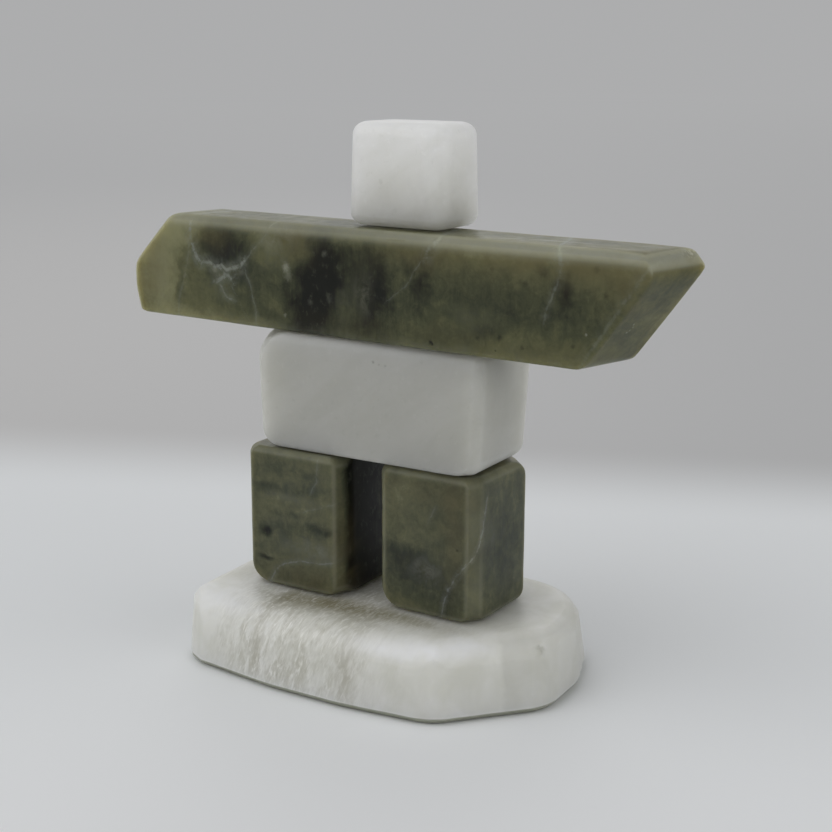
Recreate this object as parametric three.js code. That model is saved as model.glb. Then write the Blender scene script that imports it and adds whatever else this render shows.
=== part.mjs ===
// An inukshuk ornament: six ground stones stacked into the figure of a person with its arms out.
// Millimetres, +Z up, the figure's front towards -Y. Left and right are as its viewer sees them.
// The origin is on the underside of the base, below the middle of the head.
// Every stone is a block ground flat by flat, so each is the solid that lies behind all of its flats.
import * as THREE from 'three';
import { ConvexGeometry } from 'three/addons/geometries/ConvexGeometry.js';

// The air between a stone and the one that it rests on
const restingGap = 0.3;

// Colours and polish of the two stones
const whiteStone = { color: 0xdcdcd6, roughness: 0.5, metalness: 0 };
const shadedWhiteStone = { color: 0xd3d3cd, roughness: 0.55, metalness: 0 };
const greenStone = { color: 0x5b5e47, roughness: 0.35, metalness: 0 };

// The base, a slab with an irregular outline. Going round from its left, each side is a flat that
// faces an angle in plan, reaches out from the slab's middle, leans inwards as it rises, and meets
// the top over a worn rim of its own radius.
const baseHeight = 19.2;
const baseMiddle = [-3.5, -1.5];
const baseSides = [
  { facing: 184, reach: 53, lean: 3, rim: 5 },
  { facing: 206, reach: 56.6, lean: 3, rim: 6 },
  { facing: 265, reach: 34.2, lean: 8, rim: 8 },
  { facing: 272, reach: 32.0, lean: 9, rim: 8 },
  { facing: 278.5, reach: 32.0, lean: 9, rim: 8 },
  { facing: 319, reach: 39.1, lean: 8, rim: 7 },
  { facing: 3, reach: 46.9, lean: 3, rim: 4 },
  { facing: 20, reach: 47.7, lean: 5, rim: 3.5 },
  { facing: 51, reach: 48, lean: 17, rim: 4 },
  { facing: 86, reach: 36.4, lean: 10, rim: 5 },
  { facing: 116, reach: 36.5, lean: 9, rim: 5 },
  { facing: 150, reach: 49.5, lean: 6, rim: 5 },
];
const baseCornerRadius = 16;
const baseCornerRim = 5.3;
const footBevelHeight = 1.7;
const footBevelWidth = 1.6;

// The legs, two upright blocks of one height, each turned and placed on its own
const legHeight = 37.2;
const legEdge = 0.9;
const legTopEdge = 1.9;
const legBottomEdge = 1.1;
const legWornCorner = 5;
const legRubbedCorner = 3;
const rightLeg = {
  middle: [10.3, 2.6], turn: 0.2, width: 28.6, depth: 27.4,
  frontRightCut: 1.8, frontRightFacing: 325, frontLeftCut: 1.3, backRightCut: 1.6, backLeftCut: 1.4,
};
const leftLeg = {
  middle: [-28.8, -0.7], turn: 1.6, width: 29.8, depth: 27,
  frontRightCut: 1.7, frontRightFacing: 337, frontLeftCut: 1.3, backRightCut: 1.5, backLeftCut: 1.4,
};

// The torso, a long block across both legs that narrows a little downwards
const torsoHeight = 30;
const torsoMiddle = [-7.6, 1.2];
const torsoTurn = 2;
const torsoWidth = 66.6;
const torsoDepth = 28;
const torsoEndLean = 2;
const torsoBackLean = 3.5;
const torsoCornerCut = 1.3;
const torsoEdge = 1.6;
const torsoTopEdge = 2.4;
const torsoFootEdge = 1.2;
const torsoFootEndEdge = 4.5;
const torsoWornCorner = 8;

// The arms, one long beam with sawn ends
const armsHeight = 27.5;
const armsMiddle = [-4.5, -3.5];
const armsTurn = -0.8;
const armsDepth = 18;
const armsBevel = 1.15;
const armsEdge = 0.8;
const armsFootEdge = 1.1;
const armsBackEndEdge = 1.6;
const armsTopEndEdge = 2.4;
const leftTipReach = 74.8;
const leftTipFacing = 167;
const leftShoulderHeight = 13.6;
const leftShoulderLean = 44;
const leftHeelHeight = 7.2;
const leftHeelLean = -14;
const leftTipWear = 9;
const leftHeelWear = 3;
const rightTipReach = 73.8;
const rightTipFacing = -15;
const rightTipHeight = 22.6;
const rightUndercut = -35.6;
const rightShoulderHeight = 24;
const rightShoulderLean = 40;
const rightTipWear = 3;
const rightHeelWear = 5;

// The head, a small block with every edge rubbed round
const headHeight = 24.9;
const headMiddle = [-0.4, 0.1];
const headWidth = 28;
const headDepth = 19.6;
const headSideLean = 1.2;
const headEdge = 4;
const headTopEdge = 3.6;
const headFootEdge = 3.2;

// Where a corner cut faces between its two sides: 0.5 would be halfway
const cornerShare = 0.45;

// How many narrow flats make one rounded edge
const fineBands = 2;
const broadBands = 5;

// Two corners of a stone that are closer than this are one corner, and three flats whose normals
// span less volume than this don't meet
const sameCorner = 1e-4;
const leastVolume = 1e-9;

// A flat through a point: facing is its direction in plan, lean tips it up (or down, if negative)
function flat(facing, lean, x, y, z) {
  const plan = THREE.MathUtils.degToRad(facing);
  const tip = THREE.MathUtils.degToRad(lean);
  const normal = new THREE.Vector3(
    Math.cos(tip) * Math.cos(plan), Math.cos(tip) * Math.sin(plan), Math.sin(tip));
  return new THREE.Plane(normal, -normal.dot(new THREE.Vector3(x, y, z)));
}

// A side flat that is this far out from the stone's middle at a height
function side(facing, reach, lean = 0, height = 0) {
  const plan = THREE.MathUtils.degToRad(facing);
  return flat(facing, lean, reach * Math.cos(plan), reach * Math.sin(plan), height);
}

function topOf(height) {
  return flat(0, 90, 0, 0, height);
}

function underside() {
  return flat(0, -90, 0, 0, 0);
}

// A flat that takes the edge between two flats back by cut, and faces a share of the way round
function bevel(a, b, cut, share = 0.5) {
  const angle = a.normal.angleTo(b.normal);
  const fromA = Math.sin(angle * (1 - share)) / Math.sin(angle);
  const fromB = Math.sin(angle * share) / Math.sin(angle);
  const normal = a.normal.clone().multiplyScalar(fromA).addScaledVector(b.normal, fromB);
  return new THREE.Plane(normal, fromA * a.constant + fromB * b.constant + cut);
}

// Narrow flats that round the edge between two flats: all touch one cylinder of this radius
function rounding(a, b, radius, bands) {
  const halfAngle = a.normal.angleTo(b.normal) / 2;
  return Array.from({ length: bands }, (_, band) => {
    const share = (band + 1) / (bands + 1);
    const cut = radius * (Math.cos(halfAngle * (1 - 2 * share)) / Math.cos(halfAngle) - 1);
    return bevel(a, b, cut, share);
  });
}

// Rounds the edge between each flat of a ring and the next one round
function roundRing(ring, radius, bands) {
  return ring.flatMap((one, i) => rounding(one, ring[(i + 1) % ring.length], radius, bands));
}

// The point where three flats meet, or null where two of them are parallel
function meeting(a, b, c) {
  const bc = b.normal.clone().cross(c.normal);
  const volume = a.normal.dot(bc);
  if (Math.abs(volume) < leastVolume) {
    return null;
  }
  const ca = c.normal.clone().cross(a.normal);
  const ab = a.normal.clone().cross(b.normal);
  return bc.multiplyScalar(-a.constant).addScaledVector(ca, -b.constant)
    .addScaledVector(ab, -c.constant).divideScalar(volume);
}

// The corners of the solid behind all the flats
function cornersBehind(flats) {
  const corners = [];
  for (let i = 0; i < flats.length; i += 1) {
    for (let j = i + 1; j < flats.length; j += 1) {
      for (let k = j + 1; k < flats.length; k += 1) {
        const point = meeting(flats[i], flats[j], flats[k]);
        if (point && flats.every((one) => one.distanceToPoint(point) < sameCorner / 2)
          && !corners.some((corner) => corner.distanceTo(point) < sameCorner)) {
          corners.push(point);
        }
      }
    }
  }
  return corners;
}

// One stone: ground to its flats, then turned and set down with its underside at a height
function groundStone(name, finish, flats, middle, turn, height) {
  const stone = new THREE.Mesh(
    new ConvexGeometry(cornersBehind(flats)), new THREE.MeshStandardMaterial(finish));
  stone.name = name;
  stone.position.set(middle[0], middle[1], height);
  stone.rotation.z = THREE.MathUtils.degToRad(turn);
  return stone;
}

function makeBase() {
  const top = topOf(baseHeight);
  const foot = underside();
  const bevelLean = THREE.MathUtils.radToDeg(Math.atan2(footBevelWidth, footBevelHeight));
  const sides = baseSides.map((one) => side(one.facing, one.reach, one.lean, footBevelHeight));
  const rims = sides.flatMap((one, i) => rounding(one, top, baseSides[i].rim, broadBands));
  const bevels = baseSides.map((one) => side(one.facing, one.reach, -bevelLean, footBevelHeight));
  const corners = roundRing(sides, baseCornerRadius, fineBands);
  const cornerRims = corners.flatMap((one) => rounding(one, top, baseCornerRim, fineBands));
  const cornerBevels = roundRing(bevels, baseCornerRadius, fineBands);
  const flats = [
    top, foot, ...sides, ...rims, ...bevels, ...corners, ...cornerRims, ...cornerBevels,
  ];
  return groundStone('base', whiteStone, flats, baseMiddle, 0, 0);
}

function makeLeg(name, leg) {
  const top = topOf(legHeight);
  const foot = underside();
  const front = side(270, leg.depth / 2);
  const right = side(0, leg.width / 2);
  const back = side(90, leg.depth / 2);
  const left = side(180, leg.width / 2);
  const frontRight = bevel(front, right, leg.frontRightCut, (leg.frontRightFacing - 270) / 90);
  const backRight = bevel(right, back, leg.backRightCut);
  const backLeft = bevel(back, left, leg.backLeftCut);
  const frontLeft = bevel(left, front, leg.frontLeftCut, cornerShare);
  const ring = [front, frontRight, right, backRight, back, backLeft, left, frontLeft];
  const flats = [
    top, foot, ...ring,
    ...roundRing(ring, legEdge, 1),
    ...ring.flatMap((one) => rounding(one, top, legTopEdge, fineBands)),
    ...ring.flatMap((one) => rounding(one, foot, legBottomEdge, fineBands)),
    ...rounding(frontLeft, foot, legWornCorner, broadBands),
    ...rounding(backRight, foot, legRubbedCorner, fineBands),
    ...rounding(frontRight, foot, legRubbedCorner, fineBands),
    ...rounding(backRight, top, legWornCorner, broadBands),
    ...rounding(frontRight, top, legRubbedCorner, fineBands),
    ...rounding(frontLeft, top, legRubbedCorner, fineBands),
  ];
  return groundStone(name, greenStone, flats, leg.middle, leg.turn, baseHeight + restingGap);
}

function makeTorso(standing) {
  const top = topOf(torsoHeight);
  const foot = underside();
  const front = side(270, torsoDepth / 2);
  const right = side(0, torsoWidth / 2, -torsoEndLean, torsoHeight);
  const back = side(90, torsoDepth / 2, -torsoBackLean, torsoHeight);
  const left = side(180, torsoWidth / 2, -torsoEndLean, torsoHeight);
  const sides = [front, right, back, left];
  const corners = sides.map(
    (one, i) => bevel(one, sides[(i + 1) % sides.length], torsoCornerCut, cornerShare));
  const ring = sides.flatMap((one, i) => [one, corners[i]]);
  const flats = [
    top, foot, ...ring,
    ...roundRing(ring, torsoEdge, fineBands),
    ...ring.flatMap((one) => rounding(one, top, torsoTopEdge, broadBands)),
    ...rounding(front, foot, torsoFootEdge, fineBands),
    ...rounding(back, foot, torsoFootEdge, fineBands),
    ...[right, left, ...corners].flatMap((one) => rounding(one, foot, torsoFootEndEdge, broadBands)),
    ...rounding(corners[3], top, torsoWornCorner, broadBands),
  ];
  return groundStone('torso', shadedWhiteStone, flats, torsoMiddle, torsoTurn, standing);
}

function makeArms(standing) {
  const top = topOf(armsHeight);
  const foot = underside();
  const front = side(270, armsDepth / 2);
  const back = side(90, armsDepth / 2);
  const leftTip = side(leftTipFacing, leftTipReach);
  const leftShoulder = side(leftTipFacing, leftTipReach, leftShoulderLean, leftShoulderHeight);
  const leftHeel = side(leftTipFacing, leftTipReach, leftHeelLean, leftHeelHeight);
  const rightEnd = side(rightTipFacing, rightTipReach, rightUndercut, rightTipHeight);
  const rightShoulder = side(rightTipFacing, rightTipReach, rightShoulderLean, rightShoulderHeight);
  const topBevels = [front, back].map((one) => bevel(one, top, armsBevel));
  const ends = [leftShoulder, leftTip, leftHeel, rightEnd, rightShoulder];
  const flats = [
    top, foot, front, back, ...topBevels, ...ends,
    ...topBevels.flatMap((one) => rounding(one, top, armsEdge, fineBands)),
    ...rounding(front, topBevels[0], armsEdge, fineBands),
    ...rounding(back, topBevels[1], armsEdge, fineBands),
    ...rounding(front, foot, armsFootEdge, fineBands),
    ...rounding(back, foot, armsFootEdge, fineBands),
    ...ends.flatMap((one) => rounding(front, one, armsEdge, fineBands)),
    ...ends.flatMap((one) => rounding(back, one, armsBackEndEdge, fineBands)),
    ...rounding(leftShoulder, leftTip, leftTipWear, broadBands),
    ...rounding(leftTip, leftHeel, leftTipWear, fineBands),
    ...rounding(leftShoulder, top, armsTopEndEdge, fineBands),
    ...rounding(leftHeel, foot, leftHeelWear, fineBands),
    ...rounding(rightEnd, rightShoulder, rightTipWear, broadBands),
    ...rounding(rightShoulder, top, armsTopEndEdge, fineBands),
    ...rounding(rightEnd, foot, rightHeelWear, broadBands),
  ];
  return groundStone('arms', greenStone, flats, armsMiddle, armsTurn, standing);
}

function makeHead(standing) {
  const top = topOf(headHeight);
  const foot = underside();
  const ring = [270, 0, 90, 180].map((facing) => {
    const reach = facing % 180 === 0 ? headWidth / 2 : headDepth / 2;
    return side(facing, reach, headSideLean, headFootEdge);
  });
  const turns = roundRing(ring, headEdge, broadBands);
  const flats = [
    top, foot, ...ring, ...turns,
    ...[...ring, ...turns].flatMap((one) => rounding(one, top, headTopEdge, broadBands)),
    ...[...ring, ...turns].flatMap((one) => rounding(one, foot, headFootEdge, fineBands)),
  ];
  return groundStone('head', whiteStone, flats, headMiddle, 0, standing);
}

const torsoStands = baseHeight + restingGap + legHeight + restingGap;
const armsStand = torsoStands + torsoHeight + restingGap;
const headStands = armsStand + armsHeight + restingGap;

const inukshuk = new THREE.Group();
inukshuk.add(
  makeBase(),
  makeLeg('left_leg', leftLeg),
  makeLeg('right_leg', rightLeg),
  makeTorso(torsoStands),
  makeArms(armsStand),
  makeHead(headStands),
);

export default inukshuk;
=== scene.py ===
# %% [markdown]
# # A stone inukshuk, dressed in Blender
# The real ornament is six stones, ground by hand and stacked: a streaked white base, two green legs,
# a white torso, a long green beam for the arms and a small white head. A CAD model already gives each
# stone its true form and place. This script keeps those forms and adds what CAD leaves out: soft
# edges, ground faces that aren't quite flat, chips, and the look of stone.

# %% The frame
import math
import bpy
import numpy as np
from mathutils import Matrix


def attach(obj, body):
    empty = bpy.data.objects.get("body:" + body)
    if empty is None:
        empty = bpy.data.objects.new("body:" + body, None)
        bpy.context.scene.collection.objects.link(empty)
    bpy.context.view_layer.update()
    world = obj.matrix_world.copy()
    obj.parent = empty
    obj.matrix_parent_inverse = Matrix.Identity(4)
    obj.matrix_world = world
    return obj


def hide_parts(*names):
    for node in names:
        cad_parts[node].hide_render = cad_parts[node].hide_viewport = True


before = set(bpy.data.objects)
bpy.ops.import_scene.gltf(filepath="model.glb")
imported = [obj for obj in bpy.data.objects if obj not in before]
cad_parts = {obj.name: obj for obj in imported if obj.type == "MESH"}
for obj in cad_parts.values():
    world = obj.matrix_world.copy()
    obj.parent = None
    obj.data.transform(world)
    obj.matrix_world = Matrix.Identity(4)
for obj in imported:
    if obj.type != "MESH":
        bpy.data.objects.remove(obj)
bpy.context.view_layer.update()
MM = 0.001
print("stones:", sorted(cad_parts))

# %% [markdown]
# ## The flats of a stone
# Each CAD stone is a block ground flat by flat, so it can be told whole by its flats: which way each
# faces, and how far out it lies. One could subdivide and bevel the CAD mesh instead, but its long thin
# triangles shade badly. The list of flats lets us lay an even new skin over the same form.

# %% The flats
SMALLEST_FLAT = 0.02 * MM * MM
SAME_WAY = 0.99999


def flats_of(node):
    """Which way each flat of a CAD stone faces, and how far out it lies in mm."""
    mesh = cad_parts[node].data
    corners = np.array([vertex.co for vertex in mesh.vertices]) / MM
    facing = []
    for face in sorted(mesh.polygons, key=lambda one: -one.area):
        normal = np.array(face.normal)
        if face.area > SMALLEST_FLAT and all(normal @ other < SAME_WAY for other in facing):
            facing.append(normal)
    facing = np.array(facing)
    return facing, (corners @ facing.T).max(0)


for name in sorted(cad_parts):
    print(name, "has", len(flats_of(name)[1]), "flats")

# %% [markdown]
# ## Softened edges
# No edge on a rubbed stone is sharp. The distance to the furthest flat is a sharp form, and a smooth
# maximum of all those distances rounds every edge by the same small amount. It stays inside the CAD
# form and leaves the middle of each flat where it was. A bevel modifier would also round the edges,
# but it breaks where many narrow flats meet in a corner.

# %% The softened form
SOFTNESS = 0.05
FLATTEST_EDGE = 0.77  # the cosine of about 40 degrees: a flatter meeting of two flats is no edge
FACING_APART = -0.5  # the cosine of 120 degrees: flats that face further apart don't meet
FAR_FROM_EDGES = 30


def softness(points, rounder=()):
    """How widely the edges are rounded at each point, in mm.

    Each rounder item (x, y, z, reach, more) adds more near one place. Its reach is one number in mm,
    or one for each axis."""
    total = np.full(len(points), SOFTNESS)
    for *place, reach, more in rounder:
        total += more * np.exp(-(((points - np.array(place)) / np.array(reach)) ** 2).sum(1))
    return total


def soft_distance(points, facing, reach, soft):
    """How far points lie outside the softened stone in mm, and the way out."""
    gaps = points @ facing.T - reach
    most = gaps.max(1)
    share = np.exp((gaps - most[:, None]) / soft[:, None])
    total = share.sum(1)
    return most + soft * np.log(total), share @ facing / total[:, None]


def edge_distance(points, facing, reach):
    """How far each point of the surface is from the nearest real edge, in mm."""
    gaps = points @ facing.T - reach
    cosine = (facing @ facing.T)[gaps.argmax(1)]
    sine = np.sqrt(np.clip(1 - cosine ** 2, 1e-6, None))
    is_edge = (cosine < FLATTEST_EDGE) & (cosine > FACING_APART)
    return np.clip(np.where(is_edge, -gaps / sine, np.inf).min(1), 0, FAR_FROM_EDGES)


def bevel_depth(points, facing, reach, narrow):
    """How far points lie past the border of a bevel in mm: above 0 on the bevels, below 0 elsewhere."""
    gaps = points @ facing.T - reach
    return gaps[:, narrow].max(1) - gaps[:, ~narrow].max(1)


head_middle = np.array([[0.0, 0.0, 127.5]])
gap, _ = soft_distance(head_middle, *flats_of("head"), softness(head_middle))
print("the middle of the head lies", round(-gap[0], 1), "mm under its nearest face")

# %% [markdown]
# ## Uneven by hand
# A face ground on a wheel swells and dips a little, and its edges are worn more in some places. Sums
# of a few dozen waves in random directions give smooth swells with no grid in them. Texture
# displacement would do for a picture, but only real geometry goes along when the part is exported.

# %% Swells and dents
WAVES = 28


def swells(points, length, seed):
    """A smooth random height, mostly between -1 and 1, with swells about length mm apart."""
    dice = np.random.default_rng(seed)
    ways = dice.normal(size=(WAVES, 3))
    ways *= dice.uniform(0.7, 1.4, (WAVES, 1)) / np.linalg.norm(ways, axis=1)[:, None]
    turns = points @ ways.T * (2 * math.pi / length) + dice.uniform(0, 2 * math.pi, WAVES)
    return np.sin(turns).sum(1) * math.sqrt(0.5 / WAVES)


def dent(points, place, radius, depth, open_side=None):
    """A round dent with a soft rim, or a chip that has a crisp rim and runs out on one side."""
    offset = (points - np.array(place)) / radius
    inside = np.clip(1 - (offset ** 2).sum(1), 0, 1)
    if open_side is None:
        return depth * inside ** 2
    return depth * inside ** 0.7 * np.clip(0.5 - 0.6 * offset @ np.array(open_side), 0, 1)


def ground_by_hand(points, edge, seed, unevenness, wear):
    """How much the wheel and wear took off, in mm: swells everywhere, and more at the edges."""
    broad = 0.5 + 0.5 * swells(points, 34, seed)
    fine = 0.5 + 0.5 * swells(points, 9, seed + 1)
    rubbed = np.clip(0.3 + 0.6 * swells(points, 9, seed + 2), 0, 1.2)
    nicked = np.clip(swells(points, 2.6, seed + 3) - 0.6, 0, 1)
    worn = np.exp(-edge / 0.8) * rubbed + 1.5 * np.exp(-edge / 0.5) * nicked
    return np.clip(unevenness * (0.85 * broad + 0.15 * fine) + wear * worn, 0, None)


heights = swells(np.arange(200.0)[:, None] * np.array([1, 0, 0]), 34, 1)
print("along 200 mm the swells run from", round(heights.min(), 2), "to", round(heights.max(), 2))

# %% [markdown]
# ## A skin of even squares
# The new skin starts as a grid of small squares round a box. Each point looks outwards from a smaller
# box inside the stone, and moves along that line until it meets the softened, uneven form. On the
# broad sides the lines are parallel, so the squares stay square, and at the edges they fan out. A
# voxel remesh gives even squares too, but it leaves steps on faces that aren't square to its grid.

# %% The grid round a box
def box_grid(counts):
    """The points of a grid round a box, as whole steps, and its squares."""
    squares = []
    for axis in range(3):
        a, b = (axis + 1) % 3, (axis + 2) % 3
        u, v = np.meshgrid(np.arange(counts[a]), np.arange(counts[b]), indexing="ij")
        for end, order in ((0, (0, 1, 2, 3)), (counts[axis], (0, 3, 2, 1))):
            square = np.zeros((u.size, 4, 3), int)
            square[..., axis] = end
            for place, corner in enumerate(order):
                square[:, place, a] = (u + (corner in (2, 3))).ravel()
                square[:, place, b] = (v + (corner in (1, 2))).ravel()
            squares.append(square)
    squares = np.concatenate(squares)
    steps, index = np.unique(squares.reshape(-1, 3), axis=0, return_inverse=True)
    return steps, index.reshape(-1, 4)


steps, squares = box_grid((2, 2, 2))
print("a box of 2 x 2 x 2 has", len(steps), "points and", len(squares), "squares")

# %% [markdown]
# ## From the box to the stone
# A block of stone is sawn square before it is ground, and the skin goes the same way, from a box to
# the true form. A shrinkwrap modifier could pull the grid onto the CAD stone, but it knows nothing of
# the softened edges. Here each point climbs along its own line in a few steps, each as long as the
# distance that is left. The way that the surface faces is measured too, for smooth shading.

# %% The skin of one stone
CLIMBS = 4
NUDGE = 0.04


def lines_out(node, spacing, margins, turn):
    """For a grid round a turned box: where each point's line starts, its way out, and the squares."""
    corners = np.array([vertex.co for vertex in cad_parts[node].data.vertices]) / MM
    angle = math.radians(turn)
    spin = np.array([[math.cos(angle), -math.sin(angle), 0],
                     [math.sin(angle), math.cos(angle), 0], [0, 0, 1]])
    low, high = (corners @ spin).min(0), (corners @ spin).max(0)
    counts = np.round((high - low) / spacing).astype(int)
    steps, squares = box_grid(counts)
    outer = low + steps / counts * (high - low)
    core = np.clip(outer, low + margins, high - margins)
    way = outer - core
    way = (way / np.linalg.norm(way, axis=1)[:, None]) @ spin.T
    return core @ spin.T, way, squares


def skin(node, spacing, margins, turn, seed, unevenness, wear, dents=(), rounder=()):
    """A fine mesh over a CAD stone: its points, squares, normals, and how far from an edge each is.

    spacing is the size of a square, margins how deep the inner box lies, both in mm, and turn how
    many degrees the stone is turned on the base."""
    facing, reach = flats_of(node)
    start, way, squares = lines_out(node, spacing, margins, turn)
    assert soft_distance(start, facing, reach, softness(start))[0].max() < -1, node

    def form(points):
        gap, out = soft_distance(points, facing, reach, softness(points, rounder))
        edge = edge_distance(points, facing, reach)
        taken = ground_by_hand(points, edge, seed, unevenness, wear)
        for one in dents:
            taken = taken + dent(points, *one)
        return gap + taken, out

    climb = way @ facing.T
    first = np.where(climb > 1e-6, (reach - start @ facing.T) / np.maximum(climb, 1e-6), 1e6)
    length = first.min(1)
    for _ in range(CLIMBS):
        gap, out = form(start + length[:, None] * way)
        length -= gap / np.maximum((out * way).sum(1), 0.2)
    points = start + length[:, None] * way
    here = form(points)[0]
    slope = np.stack([form(points + NUDGE * axis)[0] - here for axis in np.eye(3)], 1)
    slope /= np.linalg.norm(slope, axis=1)[:, None]
    return points, squares, slope, edge_distance(points, facing, reach)



for name, spacing in (("arms", 0.5), ("base", 0.55)):
    print("lines out of the", name + ":", len(lines_out(name, spacing, np.array([8, 6, 6]), 0)[0]))

# %% [markdown]
# ## Hanging a stone on the frame
# A skin becomes a Blender mesh with its own normals, which shade a softened edge right although it is
# only a few squares wide. The marks for the finish go along as attributes, so they also survive when
# the mesh is moved. Then the piece takes the place of its CAD stone on the frame.

# %% The piece of one stone
def stone_piece(node, points, squares, normals, marks, finish):
    """Makes the Blender object, and hangs it on the frame in place of the CAD stone."""
    mesh = bpy.data.meshes.new(node + "_stone")
    mesh.from_pydata((points * MM).tolist(), [], squares.tolist())
    mesh.polygons.foreach_set("use_smooth", np.ones(len(squares), bool))
    mesh.normals_split_custom_set_from_vertices(normals.tolist())
    for mark, values in marks.items():
        kind = "FLOAT" if values.ndim == 1 else "FLOAT_VECTOR"
        layer = mesh.attributes.new(mark, kind, "POINT")
        layer.data.foreach_set("value" if kind == "FLOAT" else "vector",
                               values.astype(np.float32).ravel())
    mesh.materials.append(finish)
    piece = bpy.data.objects.new(node + "_stone", mesh)
    bpy.context.scene.collection.objects.link(piece)
    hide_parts(node)
    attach(piece, "root")
    print(node, len(points), "points,", 2 * len(squares), "triangles")


print("a stone can take the place of:", ", ".join(sorted(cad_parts)))

# %% [markdown]
# ## Where the marks lie
# Veins, clouds and pale patches in stone run through the whole block, and a cut face shows where it
# crosses them. So a vein is drawn as a line on the stone's front and carried into the depth as a
# sheet. Each point of the skin keeps its signed distance to the sheet, and the material later draws
# a fine line where that is zero, much finer than the mesh.

# %% The veins
def vein(points, line, front, drift=(0.0, 0.0), strength=1.0, width=0.25):
    """Signed distance to a vein's sheet, its strength and its width, for each point.

    line is its path over the front as (x, z) in mm, front is the y of that face, and drift is how
    far the sheet moves in x and z for each mm of depth."""
    depth = points[:, 1] - front
    spot = np.stack([points[:, 0] - drift[0] * depth, points[:, 2] - drift[1] * depth], 1)
    path = np.array(line, float)
    best = np.full(len(points), 1e9)
    signed = np.zeros(len(points))
    along = np.zeros(len(points))
    lengths = np.linalg.norm(np.diff(path, axis=0), axis=1)
    before = np.concatenate([[0], np.cumsum(lengths)])
    for index, (start, end) in enumerate(zip(path, path[1:])):
        step = end - start
        share = (spot - start) @ step / (step @ step)
        low = -1e3 if index == 0 else 0
        high = 1e3 if index == len(path) - 2 else 1
        held = np.clip(share, low, high)
        offset = spot - start - held[:, None] * step
        gap = np.linalg.norm(offset, axis=1)
        side = np.sign(step[0] * (spot - start)[:, 1] - step[1] * (spot - start)[:, 0])
        closer = gap < best
        best = np.where(closer, gap, best)
        signed = np.where(closer, gap * side, signed)
        along = np.where(closer, before[index] + share * lengths[index], along)
    beyond = np.maximum(np.maximum(-along, along - before[-1]), 0)
    fade = np.exp(-(beyond / 1.2) ** 2) * strength
    return np.stack([signed, fade, np.full(len(points), width)], 1)


probe = np.array([[0.0, 0, 0], [0.5, 0, 1]])
print("signed distances to an upright vein:", vein(probe, [(0, 0), (0, 5)], 0)[:, 0])

# %% [markdown]
# ## Clouds
# Between the veins the stone is cloudy, and no cloud has a hard border. Each one is a soft blob with a
# place, a reach along each axis and a strength. One could paint them by hand as vertex colours, but
# as a list of numbers they can be moved or made fainter one at a time. Bending the space a little
# before measuring makes the borders ragged, as in real stone.

# %% The clouds
def clouds(points, spots, raggedness=1.0):
    """Patches with ragged edges, each (x, y, z, reach x, reach y, reach z, strength) in mm."""
    ragged = np.stack([swells(points, 7, 100 + axis) + 0.5 * swells(points, 2.6, 110 + axis)
                       for axis in range(3)], 1)
    bent = points + raggedness * ragged
    total = np.zeros(len(points))
    for x, y, z, rx, ry, rz, strength in spots:
        offset = (bent - np.array([x, y, z])) / np.array([rx, ry, rz])
        total += strength * np.exp(-(offset ** 2).sum(1))
    return total


print("a cloud's strength at its middle:", clouds(np.zeros((1, 3)), [(0, 0, 0, 5, 5, 5, 1)], 0)[0])

# %% [markdown]
# ## A small kit for finishes
# The stone materials are all built from nodes, which Blender wires by hand or by script. These few
# helpers keep the script short: each adds one node and gives back its output, so a finish reads from
# top to bottom like a recipe. All lengths in it are millimetres on the stone.

# %% The finish kit
def srgb(red, green, blue):
    """A colour as read off a screen, 0 to 255, as Blender's linear values."""
    linear = [c / 12.92 if c < 0.04045 else ((c + 0.055) / 1.055) ** 2.4
              for c in (red / 255, green / 255, blue / 255)]
    return (*linear, 1.0)


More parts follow.
